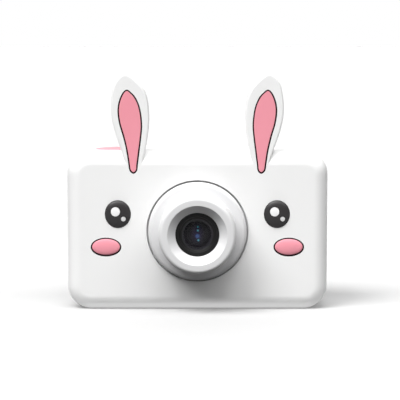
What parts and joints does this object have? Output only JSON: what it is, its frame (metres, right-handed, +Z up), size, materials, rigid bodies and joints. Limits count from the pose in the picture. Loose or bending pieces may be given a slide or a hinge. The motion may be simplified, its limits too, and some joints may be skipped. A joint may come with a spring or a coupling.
{
  "type": "kids digital camera",
  "caption": "Small rounded-box digital camera for children in a soft jacket with two upright ears, a stepped lens barrel, a screen and keys behind",
  "frame": {"origin": "centre of the object's bounding box in X and Y, on the underside that it stands on", "axes": "+Z up, the lens looks along -Y, +X is to the right seen from the lens side"},
  "size_m": [0.1, 0.0456, 0.0904],
  "materials": {
    "white_silicone": "soft satin moulded silicone",
    "pink_silicone": "soft satin moulded silicone",
    "eye_black": "domed satin black",
    "eye_white": "smooth white inlay",
    "white_plastic": "fine satin moulded plastic",
    "pink_plastic": "satin moulded plastic",
    "black_plastic": "fine matt moulded plastic",
    "cover_glass": "clear coated glass",
    "lens_glass": "coated optical glass",
    "filter_glass": "coated filter glass",
    "screen_black": "polished clear window over a dark screen",
    "display": "display module with a metal rear frame",
    "screw_steel": "zinc-plated steel",
    "board_green": "solder mask",
    "chip_black": "moulded epoxy",
    "tin_steel": "tin-plated steel",
    "amber_film": "polyimide film",
    "battery_foil": "laminated pouch foil",
    "foam": "closed-cell foam",
    "wire_sleeve": "PVC sleeve",
    "speaker_black": "moulded frame and paper cone"
  },
  "bodies": {
    "camera": {"silicone_jacket": "white_silicone", "ear_inlay_left": "pink_silicone", "ear_inlay_right": "pink_silicone", "cheek_pad_left": "pink_silicone", "cheek_pad_right": "pink_silicone", "eye_left": "eye_black", "eye_right": "eye_black", "eye_glints": "eye_white", "front_housing": "white_plastic", "rear_housing": "white_plastic", "case_screws": "screw_steel", "lens_barrel": "white_plastic", "barrel_screws": "screw_steel", "lens_bezel": "black_plastic", "cover_glass": "cover_glass", "lens_cell": "black_plastic", "front_element": "lens_glass", "middle_element": "lens_glass", "rear_element": "lens_glass", "lens_holder": "black_plastic", "ir_filter": "filter_glass", "image_sensor": "chip_black", "sensor_board": "board_green", "sensor_screws": "screw_steel", "sensor_ribbon": "amber_film", "main_board": "board_green", "board_chips": "chip_black", "board_screws": "screw_steel", "battery": "battery_foil", "battery_foam": "foam", "battery_lead": "wire_sleeve", "speaker": "speaker_black", "speaker_lead": "wire_sleeve", "microphone": "tin_steel", "display_module": "display", "display_gasket": "foam", "display_window": "screen_black", "display_ribbon": "amber_film", "key_switches": "tin_steel", "shutter_switch": "tin_steel", "power_switch": "tin_steel", "button_board": "board_green", "button_board_screws": "screw_steel", "button_ribbon": "amber_film", "usb_port": "tin_steel", "door_pin": "screw_steel", "card_socket": "tin_steel", "lanyard_bar": "screw_steel"},
    "shutter": {"shutter_button": "pink_plastic"},
    "power": {"power_button": "pink_plastic"},
    "up_key": {"key_up": "pink_plastic"},
    "down_key": {"key_down": "pink_plastic"},
    "left_key": {"key_left": "pink_plastic"},
    "right_key": {"key_right": "pink_plastic"},
    "ok_key": {"key_ok": "pink_plastic"},
    "menu_key": {"key_menu": "pink_plastic"},
    "play_key": {"key_play": "pink_plastic"},
    "door": {"port_door": "white_plastic"},
    "card": {"memory_card": "chip_black"}
  },
  "joints": [
    {"name": "shutter_press", "type": "slide", "parent": "camera", "child": "shutter", "axis": [0, 0, -1], "range_m": [0, 0.0008], "stiffness_N_per_m": 400, "springref_m": -0.002},
    {"name": "power_press", "type": "slide", "parent": "camera", "child": "power", "axis": [0, 0, -1], "range_m": [0, 0.0005], "stiffness_N_per_m": 300, "springref_m": -0.002},
    {"name": "up_press", "type": "slide", "parent": "camera", "child": "up_key", "axis": [0, -1, 0], "range_m": [0, 0.0005], "stiffness_N_per_m": 200, "springref_m": -0.002},
    {"name": "down_press", "type": "slide", "parent": "camera", "child": "down_key", "axis": [0, -1, 0], "range_m": [0, 0.0005], "stiffness_N_per_m": 200, "springref_m": -0.002},
    {"name": "left_press", "type": "slide", "parent": "camera", "child": "left_key", "axis": [0, -1, 0], "range_m": [0, 0.0005], "stiffness_N_per_m": 200, "springref_m": -0.002},
    {"name": "right_press", "type": "slide", "parent": "camera", "child": "right_key", "axis": [0, -1, 0], "range_m": [0, 0.0005], "stiffness_N_per_m": 200, "springref_m": -0.002},
    {"name": "ok_press", "type": "slide", "parent": "camera", "child": "ok_key", "axis": [0, -1, 0], "range_m": [0, 0.0005], "stiffness_N_per_m": 200, "springref_m": -0.002},
    {"name": "menu_press", "type": "slide", "parent": "camera", "child": "menu_key", "axis": [0, -1, 0], "range_m": [0, 0.0005], "stiffness_N_per_m": 200, "springref_m": -0.002},
    {"name": "play_press", "type": "slide", "parent": "camera", "child": "play_key", "axis": [0, -1, 0], "range_m": [0, 0.0005], "stiffness_N_per_m": 200, "springref_m": -0.002},
    {"name": "door_hinge", "type": "hinge", "parent": "camera", "child": "door", "pos_m": [0.0464, 0.0122, 0.0224], "axis": [0, 1, 0], "range_deg": [0, 100]},
    {"name": "card_slide", "type": "slide", "parent": "camera", "child": "card", "axis": [-1, 0, 0], "range_m": [0, 0.014]}
  ]
}
